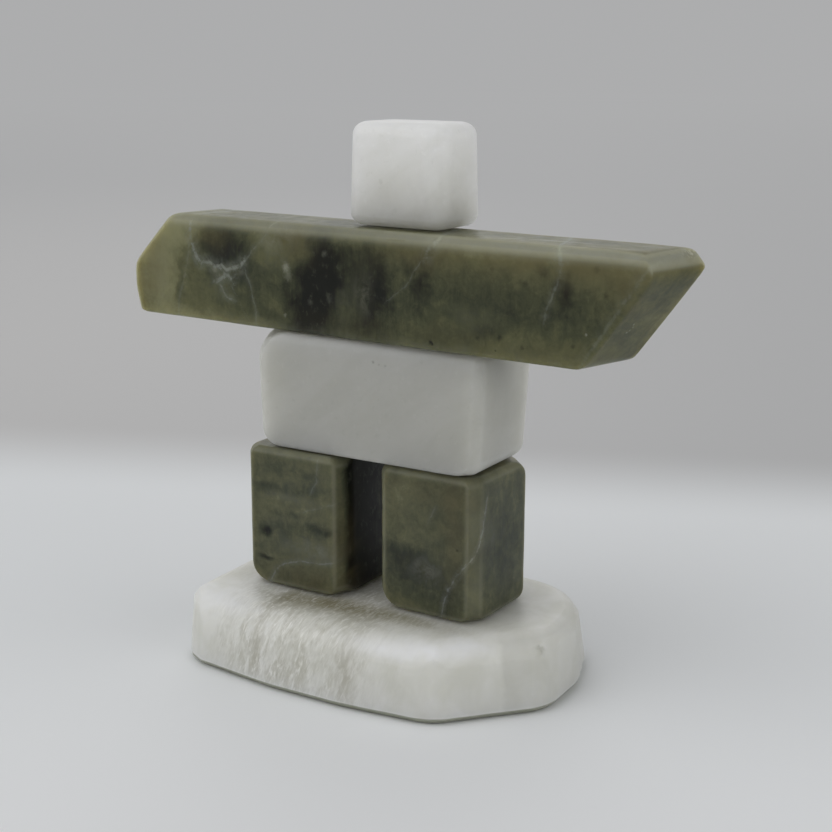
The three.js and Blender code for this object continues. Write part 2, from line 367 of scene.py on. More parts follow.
class Finish:
    """A material, built one node at a time."""

    def __init__(self, name):
        self.material = bpy.data.materials.new(name)
        self.material.use_nodes = True
        self.nodes = self.material.node_tree.nodes
        self.links = self.material.node_tree.links
        self.shader = self.nodes["Principled BSDF"]
        place = self.nodes.new("ShaderNodeTexCoord").outputs["Object"]
        self.place = self.stretch(place, (1 / MM,) * 3)

    def feed(self, socket, value):
        if isinstance(value, bpy.types.NodeSocket):
            self.links.new(value, socket)
        else:
            socket.default_value = value

    def stretch(self, place, factors, shift=(0, 0, 0)):
        node = self.nodes.new("ShaderNodeVectorMath")
        node.operation = "MULTIPLY_ADD"
        self.feed(node.inputs[0], place)
        self.feed(node.inputs[1], factors)
        self.feed(node.inputs[2], shift)
        return node.outputs[0]

    def math(self, operation, *values):
        node = self.nodes.new("ShaderNodeMath")
        node.operation = operation
        for socket, value in zip(node.inputs, values):
            self.feed(socket, value)
        return node.outputs[0]

    def times(self, one, other):
        return self.math("MULTIPLY", one, other)

    def noise(self, length, detail=3.0, roughness=0.5, warp=0.0, place=None):
        node = self.nodes.new("ShaderNodeTexNoise")
        self.feed(node.inputs["Vector"], place or self.place)
        node.inputs["Scale"].default_value = 1 / length
        node.inputs["Detail"].default_value = detail
        node.inputs["Roughness"].default_value = roughness
        node.inputs["Distortion"].default_value = warp
        return node.outputs["Fac"]

    def fade(self, value, low, high, start=0.0, end=1.0):
        """start where value is low, end where it is high, and a smooth change between."""
        node = self.nodes.new("ShaderNodeMapRange")
        node.interpolation_type = "SMOOTHSTEP"
        for socket, one in zip(node.inputs, (value, low, high, start, end)):
            self.feed(socket, one)
        return node.outputs[0]

    def ramp(self, value, stops):
        node = self.nodes.new("ShaderNodeValToRGB")
        band = node.color_ramp
        while len(band.elements) < len(stops):
            band.elements.new(0.5)
        for element, (place, colour) in zip(band.elements, stops):
            element.position = place
            element.color = colour
        self.feed(node.inputs[0], value)
        return node.outputs["Color"]

    def mix(self, share, one, other):
        node = self.nodes.new("ShaderNodeMix")
        node.data_type = "RGBA"
        self.feed(node.inputs[0], share)
        self.feed(node.inputs[6], one)
        self.feed(node.inputs[7], other)
        return node.outputs[2]

    def turned(self, place, axis, degrees):
        """The same place in a frame turned about an axis."""
        node = self.nodes.new("ShaderNodeVectorRotate")
        node.rotation_type = axis + "_AXIS"
        self.feed(node.inputs["Vector"], place)
        node.inputs["Angle"].default_value = math.radians(degrees)
        return node.outputs[0]

    def parts(self, place):
        """The x, y and z of a place or a way."""
        node = self.nodes.new("ShaderNodeSeparateXYZ")
        self.feed(node.inputs[0], place)
        return node.outputs

    def surface(self, socket, value):
        """Sets or feeds one of the shader's own sockets."""
        self.feed(self.shader.inputs[socket], value)

    def done(self):
        print(self.material.name, "has", len(self.nodes), "nodes")
        return self.material


print("a grey of 128 on a screen is", round(srgb(128, 128, 128)[0], 3), "in Blender")

# %% [markdown]
# ## What only stone needs
# On top of that, stone needs marks, spots, vein lines, fine relief and light that sinks in. The marks
# are read from the mesh, where the cells above put them. A vein line is drawn in the material from its
# signed distance, so it stays crisp however close one looks. Painted textures would do for one view,
# but they blur close up.

# %% The stone kit
class StoneFinish(Finish):
    """A stone's material."""

    def __init__(self, name):
        super().__init__(name)
        self.jitter = self.math("SUBTRACT", self.noise(0.7, 3, 0.6), 0.5)

    def mark(self, name, part="Fac"):
        """A value that the mesh keeps for each point of the stone."""
        node = self.nodes.new("ShaderNodeAttribute")
        node.attribute_name = name
        return node.outputs[part]

    def spot(self, place, radius, softness=0.5):
        """1 inside a small ragged spot on the stone, 0 outside."""
        node = self.nodes.new("ShaderNodeVectorMath")
        node.operation = "DISTANCE"
        self.feed(node.inputs[0], self.place)
        self.feed(node.inputs[1], place)
        ragged = self.math("MULTIPLY_ADD", self.jitter, 2.2 * radius, node.outputs["Value"])
        return self.fade(ragged, radius * (1 - softness), radius * (1 + softness), 1, 0)

    def vein_line(self, name, ragged):
        """A fine line along a vein's sheet, with ragged a small shift of it in mm."""
        signed, strength, width = self.parts(self.mark(name, "Vector"))
        shifted = self.math("ADD", signed, ragged)
        ratio = self.math("DIVIDE", self.math("ABSOLUTE", shifted), width)
        core = self.fade(ratio, 0.2, 1.3, 1, 0)
        halo = self.fade(ratio, 0.4, 4.5, 0.35, 0)
        broken = self.fade(self.noise(1.9, 4, 0.65, 0.5), 0.36, 0.6, 0.25, 1.15)
        both = self.times(self.math("MAXIMUM", core, halo), strength)
        return self.times(both, broken)

    def most(self, values):
        total = values[0]
        for value in values[1:]:
            total = self.math("MAXIMUM", total, value)
        return total

    def bump(self, heights):
        """Fine relief: each height is a noise and how deep it goes, in mm."""
        total = None
        for value, depth in heights:
            part = self.times(value, depth * MM)
            total = part if total is None else self.math("ADD", total, part)
        node = self.nodes.new("ShaderNodeBump")
        node.inputs["Distance"].default_value = 1.0
        self.feed(node.inputs["Height"], total)
        self.links.new(node.outputs["Normal"], self.shader.inputs["Normal"])

    def glow(self, weight, scale, radius):
        """Light that enters the stone and comes out a little further on."""
        self.surface("Subsurface Weight", weight)
        self.surface("Subsurface Scale", scale * MM)
        self.surface("Subsurface Radius", radius)


print("helpers for stone:", [name for name in vars(StoneFinish) if name[0] != "_"])

# %% [markdown]
# ## The green stone
# The arms and legs are a dark olive serpentine. Its colour comes in layers: broad clouds from olive to
# nearly black, fine mottling, hairline veins, and near every edge a paler, yellower rim, a painted glow
# where light gets through the thin stone. An image of such stone would repeat and show seams, but noise
# in three dimensions runs through the block. One function makes the finish, and each block sets its own
# clouds.

# %% The clouded green
GREEN_DEPTHS = [(0.0, srgb(150, 150, 116)), (0.22, srgb(108, 108, 77)), (0.42, srgb(82, 85, 61)),
                (0.66, srgb(54, 57, 39)), (0.95, srgb(17, 19, 12))]
SMOKY_BLUE = srgb(70, 76, 70)
PALE_HAZE_AND_GLOW = srgb(140, 141, 122)
WARM_TAN = srgb(104, 94, 62)


def clouded_green(green, place, middle):
    """The stone's colour: clouds from olive to nearly black, then blue places, and hazy and warm places
    that are partly painted glow.
    """
    broad = green.noise(15, 4, 0.55, 0.6, place)
    grain = green.noise(0.8, 4, 0.65, 0, place)
    threads = green.noise(1.5, 5, 0.68, 0.3, green.stretch(place, (1, 1, 0.2)))
    uneven = green.math("ADD", green.times(middle, 0.8), threads)
    depth = green.times(green.mark("cloud"), green.math("ADD", uneven, 0.1))
    for value, weight in ((broad, 0.6), (middle, 0.5), (threads, 0.14), (grain, 0.18)):
        depth = green.math("ADD", depth, green.times(value, weight))
    colour = green.ramp(green.fade(depth, 0.21, 1.56), GREEN_DEPTHS)
    blue = green.times(green.mark("blue"), green.fade(middle, 0.3, 0.75, 0, 0.6))
    colour = green.mix(blue, colour, SMOKY_BLUE)
    # hazy places, partly stone and partly painted light: a glow along the arms' foot, and light against
    # the head's shadow
    haze_and_glow = green.times(green.mark("haze_and_glow"), green.fade(middle, 0.3, 0.68))
    colour = green.mix(haze_and_glow, colour, PALE_HAZE_AND_GLOW)
    # warm places, partly stone and partly a painted glow at the arms' ends, where light gets through
    tan_and_glow = green.times(green.mark("tan_and_glow"), green.fade(broad, 0.25, 0.6, 0, 0.8))
    return green.mix(tan_and_glow, colour, WARM_TAN)


print("the green goes through", len(GREEN_DEPTHS), "depths")

# %% [markdown]
# ## Specks, rims and veins
# Three more layers lie over the clouds. Pale specks and a few single spots sit in the darker places.
# Along the ground edges the skin is painted pale, partly for wear and partly as painted light that the
# bevels catch, with a warm rim beside it, a painted glow where light gets through the thin stone.
# The veins come last, so they run on across the edges. Each layer is a function of its own, because
# the arms and both legs share them.

# %% The specks and rims
DARK_SPOT = srgb(26, 26, 19)
PALE_SPOT = srgb(166, 169, 156)
BEVEL_BORDER = (-0.7, 0.4)


def specks_and_spots(green, place, colour, dark_spots, pale_spots):
    """Pale specks where the clouds are dark, and single spots (place, radius, strength)."""
    cloud, bevel = green.mark("cloud"), green.mark("bevel")
    flecks = green.noise(1.7, 4, 0.62, 0.2, green.stretch(place, (1, 1, 0.7), (0, 7, 0)))
    where = green.times(green.fade(cloud, 0.25, 0.6), green.fade(bevel, -0.4, 0, 1, 0))
    where = green.times(where, green.fade(cloud, 1.1, 1.6, 1, 0))
    specks = green.times(green.fade(flecks, 0.54, 0.7, 0, 0.24), where)
    colour = green.mix(specks, colour, srgb(106, 109, 92))
    for tint, spots in ((DARK_SPOT, dark_spots), (PALE_SPOT, pale_spots)):
        for spot, radius, strength in spots:
            share = green.times(green.spot(spot, radius, 0.85), strength)
            colour = green.mix(share, colour, tint)
    return colour


def rubbed_and_lit_edges(green, middle, colour, worn_and_lit_colour):
    """The warm rims of painted glow, and the pale bevels and a fine lighter line where a bevel starts,
    painted for wear and for the light they catch.
    """
    cloud, bevel, worn = green.mark("cloud"), green.mark("bevel"), green.mark("worn")
    pale = green.times(worn, green.fade(middle, 0.25, 0.6, 0.8, 1.05))
    pale = green.times(pale, green.fade(cloud, 0.3, 0.9, 1, 0.45))
    # painted glow: a warm rim where light gets through the thin stone beside a bevel
    thin = green.times(green.math("POWER", green.fade(bevel, -3.9, 0.6), 1.6),
                       green.fade(worn, 0.55, 1.0, 0, 0.5))
    colour = green.mix(thin, colour, srgb(132, 126, 91))
    # the bevels painted pale, partly wear and partly painted light that they catch
    colour = green.mix(green.times(green.fade(bevel, *BEVEL_BORDER), pale), colour, worn_and_lit_colour)
    # a fine lighter line where a bevel starts, partly wear and partly a painted highlight
    line = green.fade(green.math("ABSOLUTE", bevel), 0.02, 0.4, 0.3, 0)
    return green.mix(green.times(line, pale), colour, srgb(186, 187, 166))


def green_veins(green, colour, veins):
    """The hairline veins, paler where they cross a pale bevel."""
    ragged = green.times(green.math("SUBTRACT", green.noise(1.8, 5, 0.65), 0.5), 1.3)
    lines = green.times(green.most([green.vein_line(one, ragged) for one in veins]), 0.7)
    on_bevel = green.fade(green.mark("bevel"), *BEVEL_BORDER)
    return green.mix(lines, colour, green.mix(on_bevel, srgb(142, 147, 140), srgb(180, 183, 168)))


print("the border of a bevel is", BEVEL_BORDER[1] - BEVEL_BORDER[0], "mm wide")

# %% [markdown]
# ## The surface of the green stone
# The stone has a satin polish, with smears that differ in gloss, and the saw left faint lines along
# the tops. It could have a clear coat, but real polish is only the stone itself, rubbed smooth, so a
# low specular level and a moderate roughness suit it better. Some light sinks in, the red and green
# in it further than the blue, and so the edges turn warm.

# %% The green finish
def green_finish(name, veins, shift, worn_and_lit_colour, warmth, dark_spots=(), pale_spots=()):
    """The green stone of one block. shift moves its noise, so no two blocks are alike."""
    green = StoneFinish(name)
    place = green.stretch(green.place, (1, 1, 1), shift)
    middle = green.noise(3.6, 6, 0.68, 0.5, place)
    colour = clouded_green(green, place, middle)
    colour = specks_and_spots(green, place, colour, dark_spots, pale_spots)
    colour = rubbed_and_lit_edges(green, middle, colour, worn_and_lit_colour)
    colour = green_veins(green, colour, veins)
    sawn = green.noise(0.5, 3, 0.6, 0, green.stretch(green.place, (0.03, 1, 1)))
    upwards = green.parts(green.nodes.new("ShaderNodeTexCoord").outputs["Normal"])[2]
    top = green.fade(upwards, 0.85, 0.97)
    # painted glints where the saw lines on the tops catch the light, with some real scratches
    scratches_and_glints = green.times(green.fade(sawn, 0.5, 0.62, 0, 0.7), green.mark("scratches_and_glints"))
    colour = green.mix(scratches_and_glints, colour, srgb(205, 206, 196))
    green.surface("Base Color", green.stretch(colour, (0.86, 0.86, warmth)))
    green.surface("Specular IOR Level", 0.23)
    smeared = green.fade(green.noise(3.0, 4, 0.6, 0.4), 0.25, 0.8, 0.38, 0.48)
    saw_lines = green.times(green.math("SUBTRACT", sawn, 0.5), 0.25)
    green.surface("Roughness", green.math("MULTIPLY_ADD", top, saw_lines, smeared))
    green.bump([(green.noise(0.35, 3, 0.6), 0.01), (middle, 0.008), (green.times(sawn, top), 0.02)])
    green.glow(0.7, 12, (1.0, 0.9, 0.6))
    return green.done()

# %% [markdown]
# ## The veins of the arms
# The longest block is a beam of green stone with both ends cut at a slant. It carries most of the
# marks that one knows the ornament by: pale veins that ring a blue-black patch on the left, and a few
# long thin ones that climb over the upper edge. Each is a short list of points along its path.

# %% The veins of the arms
ARMS_FRONT = -12.5
ARMS_VEINS = {
    "vein_ring": dict(line=[(-62.6, 111.5), (-62.6, 108.7), (-62.0, 106.1), (-60.7, 103.6),
                            (-59.4, 102.1), (-56.6, 102.6), (-54.6, 101.6), (-52.4, 102.1),
                            (-50.5, 101.2), (-47.8, 101.8), (-45.8, 102.5), (-44.7, 103.9)],
                      drift=(0.2, 0.4), strength=1.15, width=0.68),
    "vein_fork": dict(line=[(-53.0, 101.5), (-50.7, 99.7), (-53.4, 97.9)],
                      drift=(0.2, 0.3), strength=0.9, width=0.55),
    "vein_hook": dict(line=[(-54.0, 98.1), (-51.9, 99.1), (-49.9, 99.8), (-49.2, 98.8),
                            (-47.9, 99.7)], drift=(0.1, 0.3), strength=1.05, width=0.6),
    "vein_curl": dict(line=[(-52.4, 96.6), (-51.4, 95.2), (-50.6, 94.2), (-48.8, 93.7)],
                      drift=(0.3, 0.1), strength=0.75, width=0.42),
    "vein_bend": dict(line=[(-35.5, 114.5), (-36.9, 112.1), (-38.9, 109.4), (-41.6, 107.2),
                            (-43.7, 105.0), (-44.4, 102.9), (-43.8, 100.3), (-42.6, 97.9),
                            (-42.0, 95.3), (-41.1, 92.3), (-40.8, 87.5)],
                      drift=(0.35, 0), strength=0.45, width=0.34),
    "vein_short": dict(line=[(0.4, 98.4), (5.6, 102.3), (9.6, 108.3)], drift=(0.2, 0),
                       strength=0.3, width=0.24),
    "vein_top": dict(line=[(17.5, 118), (15.1, 114.6), (11.8, 111.3), (11.0, 109.4)],
                     drift=(-0.1, 0.2), strength=0.7, width=0.8),
    "vein_streak": dict(line=[(46.2, 118), (45.9, 114.5), (46.5, 111.6)], drift=(-0.3, 0),
                        strength=0.9, width=0.8),
    "vein_long": dict(line=[(46.4, 118), (46.0, 114.5), (46.6, 112.3), (46.7, 110.0),
                            (46.5, 107.8), (45.3, 105.4), (44.4, 102.7), (43.4, 100.8),
                            (42.9, 98.4)], drift=(-0.3, 0), strength=0.5, width=0.42),
    "vein_edge": dict(line=[(68.6, 112.5), (62.7, 104.0), (57.0, 95.5), (51.5, 87.5)],
                      drift=(0, 0), strength=0.35, width=0.6),
    "vein_end": dict(line=[(-62.6, 110), (-64.3, 102.2), (-66.0, 96.3), (-67.6, 91.8),
                           (-68.1, 87)], drift=(0.3, 0), strength=0.3, width=0.5),
}
print("veins on the arms:", len(ARMS_VEINS))

# %% [markdown]
# ## The clouds of the arms
# Next to the ringed patch stands a dark band, and further right the stone is smoky with warmer, paler
# places along its edges, partly stone and partly painted glow. Some hazy places are painted light: a
# glow along the foot, and light against the head's shadow on the top beside it. A painted picture
# could carry all that, but not for the sides that no picture shows. Each group of seven numbers is one
# cloud: its place, its reach along each axis and its strength. A strength below 0 makes a place paler.

# %% The clouds of the arms
ARMS_CLOUDS = [
    (-50, -12, 106.6, 9, 9, 4.2, 0.5), (-18, -12, 105, 5, 12, 7, 0.85),
    (-22, -12, 96.5, 6, 12, 8, 0.85), (-24.5, -10, 90, 7, 10, 5, 0.35),
    (-4.5, -12, 99, 6.5, 10, 11, 0.6), (8.5, -12, 102, 4, 8, 7, 0.38),
    (47.5, -13, 105, 2.4, 4, 2.2, 0.4), (42.2, -13, 108.3, 1.6, 3, 1.4, 0.45),
    (38.4, -13, 105, 1.3, 3, 1.2, 0.3), (28, -13, 93.5, 3.4, 5, 1.8, 0.2),
    (50, -12, 98, 16, 12, 7, 0.13), (25, -12, 101, 16, 12, 8, 0.2), (58, -12, 104, 5, 8, 6, 0.05),
    (-73, -10, 103, 10, 30, 16, -0.41), (-64, -12, 111.5, 8, 12, 3.2, -0.25),
    (-42, -12, 99, 9, 12, 6, 0.14), (-38, -12, 108.5, 4.5, 8, 4, -0.2),
    (-31, -12, 96, 4, 10, 5, 0.14), (6, -12, 90.5, 8, 8, 3, 0.12),
    (20, -12, 113, 60, 6, 2.2, -0.15), (-66.3, -12, 96, 1.1, 5, 5, 0.22),
    (-46, -12, 88.5, 12, 8, 2.4, -0.1), (-68, -12, 100.5, 6, 10, 4.5, 0.13),
    (-52, -12, 101.5, 8, 10, 4, 0.12), (-63, -12, 88.5, 10, 8, 2.8, -0.12),
    (26, -12, 100, 5, 8, 5, -0.1), (50, -12, 91, 14, 8, 4, -0.1), (38, -12, 111.5, 26, 6, 2.5, -0.12),
]
ARMS_BLUE = [(-50, -12, 104.5, 10, 10, 5, 0.45), (-50, -12, 99, 9, 9, 5, 0.4),
             (20, -12, 99, 40, 9, 5, 0.25), (70, -8, 101, 8, 14, 12, 0.8)]
# Hazy places; those at z 88 are a painted glow along the foot, and those beside the head are painted
# light against its shadow.
ARMS_HAZE_AND_GLOW = [(-34.5, -12, 109.5, 4.5, 6, 4.5, 0.6), (-31, -12, 103.6, 1.3, 3, 1.7, 0.6),
             (-30, -12, 112, 7, 20, 3, 0.5), (-52, -12, 97, 4, 5, 3, 0.3),
             (-56.5, -12, 102.4, 2.0, 4, 0.9, 0.8), (-53.5, -12, 101, 2.2, 4, 1.0, 0.85),
             (-50, -12, 101.2, 1.4, 4, 1.2, 0.8), (-47, -12, 102, 1.6, 4, 1.0, 0.7),
             (-51.5, -12, 99.2, 1.8, 4, 0.8, 0.8), (-50.6, -12, 94.4, 1.2, 4, 0.8, 0.6),
             (-60.5, -12, 104.6, 0.9, 4, 1.8, 0.5),
             (20, -12, 88, 60, 8, 1.8, 0.35), (-45, -12, 88, 14, 8, 1.8, 0.25),
             (-7, -12, 99, 2.4, 4, 4.5, 0.5), (-13, -12, 96, 2, 4, 4, 0.25),
             (-73, -11, 97, 2, 6, 9, 0.3), (24, -12, 95.5, 5, 5, 3, 0.2),
             (47.4, -12, 112.3, 0.9, 3, 1.8, 0.7), (14.5, -10, 113.4, 1.4, 4, 1.2, 0.5),
             (17, -6, 115, 6, 5, 2, 0.8)]
# where glints are painted along the saw lines, with some real scratches
ARMS_SCRATCHES_AND_GLINTS = [(38, -5, 115, 12, 1.6, 2, 1.0), (28, -7.5, 115, 9, 1.3, 2, 0.8),
                (71, 1.2, 113.8, 2.2, 3, 1.0, 1.0)]
# Warm places; those at the two ends are a painted glow where light gets through.
ARMS_TAN_AND_GLOW = [(-27.5, -12, 110.5, 5, 6, 4, 0.8), (-76, -8, 101, 5.5, 20, 9, 0.75),
            (-56, -12, 109.5, 7, 6, 3, 0.45),
            (11, -12, 110, 14, 10, 3.2, 0.5), (45, -12, 110.5, 24, 10, 2.6, 0.7),
            (62, -12, 106, 4, 8, 6, 0.6), (20, -12, 91, 40, 8, 3, 0.2)]
print("clouds on the arms:", len(ARMS_CLOUDS))

# %% [markdown]
# ## The arms
# A few dark pits and pale flecks are placed one by one. The beam's upper edges are the bevels, painted
# pale partly for wear and partly as painted light that they catch, more so towards the right end. The
# flats that count as bevels could be picked by number, but picking them by the way they face still
# works if the CAD changes.

# %% The arms
ARMS_DARK_SPOTS = [((12.5, -12.7, 89.5), 0.42, 0.95), ((13.0, -12.7, 89.1), 0.34, 0.95),
                   ((58.1, -13.3, 104.9), 0.6, 0.45), ((55.7, -13.3, 110.4), 0.7, 0.45),
                   ((31.4, -13, 92.6), 0.6, 0.6), ((30.4, -13, 89.5), 0.28, 0.6),
                   ((25.5, -13, 92), 0.4, 0.5), ((29.2, -12.9, 108.3), 0.5, 0.4),
                   ((37.5, -13, 91), 0.4, 0.4), ((50.2, -13.2, 92.7), 0.45, 0.4)]
ARMS_PALE_SPOTS = [((53.6, -13.2, 95.8), 0.26, 0.5), ((-30.7, -12.1, 103.6), 0.9, 0.55),
                   ((-30.2, -12.1, 101.6), 1.1, 0.2), ((-18.7, -12.3, 108), 0.7, 0.16),
                   ((60.8, -7.8, 96.2), 0.24, 0.5), ((61.3, -7.3, 96.6), 0.24, 0.5),
                   ((61.9, -7.0, 97.4), 0.2, 0.4), ((62.3, -7.5, 98.1), 0.24, 0.5),
                   ((-23.3, -12.2, 95.6), 0.7, 0.1),
                   ((-31.3, -12.1, 91.5), 0.4, 0.35), ((-17.2, -12.3, 96.8), 0.8, 0.1)]

facing, reach = flats_of("arms")
across = abs(facing[:, 1])
beveled = (across > 0.3) & (across < 0.98) & (facing[:, 2] > -0.2)
beveled |= (across < 0.3) & (facing[:, 0] > 0.3) & (facing[:, 2] > 0.5) & (facing[:, 2] < 0.99)
points, squares, normals, _ = skin(
    "arms", 0.5, np.array([17.5, 6, 9]), -0.8, 11, unevenness=0.08, wear=0.08,
    dents=[((12.7, -12.8, 89.3), 0.8, 0.25), ((-83, -4, 99), 3, 0.12), ((71.5, -12, 109), 1.2, 0.2)],
    rounder=[(-80, -4, 101, 16, 0.12), (70, -8, 112, 9, 0.4), (-5, -12.5, 113, (90, 3, 3), 0.15)])
# pale bevels, partly wear and partly painted light, growing towards the right end
towards_right_end = np.clip((points[:, 0] + 20) / 65, 0, 1)
marks = {"bevel": bevel_depth(points, facing, reach, beveled),
         "cloud": clouds(points, ARMS_CLOUDS), "blue": clouds(points, ARMS_BLUE),
         "haze_and_glow": clouds(points, ARMS_HAZE_AND_GLOW, 0.5), "tan_and_glow": clouds(points, ARMS_TAN_AND_GLOW),
         "scratches_and_glints": clouds(points, ARMS_SCRATCHES_AND_GLINTS, 0.5),
         "worn": (0.56 + 0.39 * towards_right_end) * (1 + 0.08 * swells(points, 11, 7)),
         **{name: vein(points, front=ARMS_FRONT, **one) for name, one in ARMS_VEINS.items()}}
stone_piece("arms", points, squares, normals, marks, green_finish(
    "green_arms", list(ARMS_VEINS), (3, 0, 0), srgb(152, 153, 142), 0.82,
    ARMS_DARK_SPOTS, ARMS_PALE_SPOTS))

# %% [markdown]
# ## The left leg
# The two legs are cut from the same green stone. The left one shows smeared grey bands, two dark
# spots and a pale arched vein near its foot. Its inner side lies in the shade of its neighbour, and
# that shade is painted into its clouds. That could be left to the light, but then it would be too
# bright from the front.

# %% The left leg
WORN_AND_LIT_LEG = srgb(150, 150, 120)


def leg_marks(points, node, squarest):
    """How far onto a leg's bevels each point lies in mm, and how pale they are painted, for wear and
    for the light they catch.
    """
    facing, reach = flats_of(node)
    return {"bevel": bevel_depth(points, facing, reach, abs(facing).max(1) < squarest),
            "worn": 0.25 * (1 + 0.3 * swells(points, 8, 8))}


LEFT_LEG_VEINS = {
    "vein_arch": dict(line=[(-36.5, 19), (-35.2, 21.9), (-33.8, 24.1), (-31.8, 25.6), (-28.9, 26.7),
                            (-24.4, 27.7), (-21.8, 27.6), (-19.9, 27.8), (-16.8, 28.4)],
                      drift=(-0.5, 0.1), strength=0.6, width=0.32),
    "vein_thread": dict(line=[(-20.5, 54.6), (-20.8, 49.8), (-22.5, 46.9)], drift=(0.1, 0),
                        strength=0.32, width=0.25),
    "vein_bank": dict(line=[(-24.1, 41.2), (-21.6, 42.2), (-16.6, 44.1)], drift=(0, 0.1),
                      strength=0.3, width=0.22),
}
LEFT_LEG_CLOUDS = [
    (-37.1, -14, 34.3, 1.8, 4, 1.2, 0.75), (-36.7, -14, 26.6, 2.0, 4, 0.6, 0.65),
    (-17.3, -14, 36.6, 1.3, 3, 0.9, 0.32), (-21, -14, 37.4, 4, 4, 1.3, 0.26),
    (-27.4, -14, 50.9, 7, 6, 1.6, 0.13), (-35.5, -14, 46, 4, 6, 1.3, 0.16),
    (-25, -14, 46.5, 7, 6, 2.2, 0.2), (-29, -14, 39.9, 8, 6, 0.8, 0.15),
    (-28, -14, 35.6, 10, 5, 2.2, 0.12), (-27, -14, 23, 11, 6, 2.6, 0.1),
]
points, squares, normals, _ = skin(
    "left_leg", 0.5, np.array([5, 5, 5]), 1.6, 23, unevenness=0.07, wear=0.08,
    rounder=[(-14.5, -12, 38, (3, 4, 30), 0.45)])
# painted shade on the inner side, which lies in the shade of the other leg
inner_shade = np.clip((points[:, 0] + 15.0) / 1.3, 0, 1) ** 3
marks = {**leg_marks(points, "left_leg", 0.9),
         "cloud": clouds(points, LEFT_LEG_CLOUDS, 0.5) + 1.6 * inner_shade,
         "blue": clouds(points, [(-27, -13, 46, 11, 9, 8, 0.8), (-27, -13, 34, 12, 9, 6, 0.5)]),
         "haze_and_glow": clouds(points, [(-22, -14, 31, 8, 5, 2.2, 0.6), (-28, -14, 44, 9, 5, 1.0, 0.2)], 0.5),
         "tan_and_glow": clouds(points, [(-24, -13, 23, 12, 8, 3.5, 0.5), (-14, -10, 30, 3, 6, 14, 0.6)]),
         **{name: vein(points, front=-14.2, **one) for name, one in LEFT_LEG_VEINS.items()}}
stone_piece("left_leg", points, squares, normals, marks, green_finish(
    "green_left_leg", list(LEFT_LEG_VEINS), (40, 9, 22), WORN_AND_LIT_LEG, 0.965))

# %% [markdown]
# ## The right leg
# The right leg has a smoky cloud with a lighter heart and a cracked vein that climbs round its front
# corner. As the vein is a sheet through the block, it turns the corner by itself. A line drawn on
# each face would have to be matched there by hand.

# %% The right leg
RIGHT_LEG_VEINS = {
    "vein_crack": dict(line=[(15.2, 18.5), (15.7, 23.1), (17.1, 27.6), (19.4, 31.2), (22.2, 34.9),
                             (24.5, 36.5), (25.2, 37.0), (27.1, 39.8), (28.4, 43.5), (29.2, 47.4),
                             (30.1, 50.7)], drift=(-1.0, 0), strength=0.6, width=0.34),
    "vein_tick": dict(line=[(12.9, 47.5), (11.5, 44.7)], drift=(0, 0), strength=0.3, width=0.25),
}
RIGHT_LEG_CLOUDS = [
    (7.5, -11, 29.8, 10, 8, 5.6, 0.4), (6, -11, 34.5, 6, 6, 2.6, 0.15),
    (3, -11, 47, 10, 6, 10, -0.05), (18, -10, 25, 5, 6, 5, 0.2), (24, 4, 38, 4, 12, 16, 0.28),
]
points, squares, normals, _ = skin(
    "right_leg", 0.5, np.array([5, 5, 5]), 0.2, 37, unevenness=0.07, wear=0.08,
    dents=[((-3.9, -9.5, 45), 1.0, 0.25)], rounder=[(23, -9.5, 38, (4, 4, 30), 0.22)])
marks = {**leg_marks(points, "right_leg", 0.99), "cloud": clouds(points, RIGHT_LEG_CLOUDS),
         "blue": clouds(points, [(8, -11, 31, 12, 8, 8, 0.7), (25, 4, 38, 6, 13, 16, 0.9),
                                 (8, -11, 46, 9, 8, 6, 0.3)]),
         "haze_and_glow": clouds(points, [(11.3, -11, 31, 4, 4, 3, 0.5), (24.5, -6, 42, 3, 4, 4, 0.35)]),
         "tan_and_glow": clouds(points, [(19, -10.5, 45, 4, 6, 18, 0.4), (8, -11, 52, 14, 6, 4, 0.25)]),
         **{name: vein(points, front=-11.1, **one) for name, one in RIGHT_LEG_VEINS.items()}}
stone_piece("right_leg", points, squares, normals, marks, green_finish(
    "green_right_leg", list(RIGHT_LEG_VEINS), (-25, 31, 7), WORN_AND_LIT_LEG, 0.955,
    [((-2.9, -11, 45), 0.45, 0.6), ((19.6, -11, 38.3), 0.3, 0.6)]))

# %% [markdown]
# ## The plain white stone
# The torso and head are a milky white stone with no veins. A plain white surface would be quicker to
# make, but it looks like plaster. What makes it stone is that light sinks in and comes out softly, so
# the edges glow. Faint mottling, a few pinholes and the matt bloom of fine sanding do the rest.

# %% The white finish
PINHOLE = srgb(120, 118, 108)


def white_finish(name, shift, tint, depth, pinholes=()):
    """The plain white stone: its tint, how deep light goes into it in mm, and its pinholes."""
    white = StoneFinish(name)
    place = white.stretch(white.place, (1, 1, 1), shift)
    slant = white.turned(place, "Y", 35)
    broad = white.noise(9, 4, 0.5, 0.4, white.stretch(slant, (0.6, 1, 1.5)))
    flecks = white.noise(1.7, 4, 0.6, 0.2, place)
    colour = white.mix(white.fade(broad, 0.3, 0.7), srgb(230, 230, 226), srgb(237, 237, 234))
    colour = white.mix(white.fade(flecks, 0.56, 0.72, 0, 0.35), colour, srgb(247, 247, 245))
    colour = white.mix(white.fade(flecks, 0.42, 0.25, 0, 0.3), colour, srgb(212, 212, 206))
    # painted shade where the shade mark is set: towards the torso's foot and on the head's lower half
    colour = white.mix(white.mark("shade"), colour, srgb(150, 149, 140))
    for spot, radius, strength in pinholes:
        share = white.times(white.spot(spot, radius, 0.85), strength)
        colour = white.mix(share, colour, PINHOLE)
    white.surface("Base Color", white.stretch(colour, tint))
    white.surface("Roughness", white.fade(flecks, 0.3, 0.7, 0.48, 0.62))
    white.bump([(white.noise(0.3, 3, 0.6), 0.014), (flecks, 0.04)])
    white.glow(1.0, depth, (1.0, 0.98, 0.9))
    return white.done()

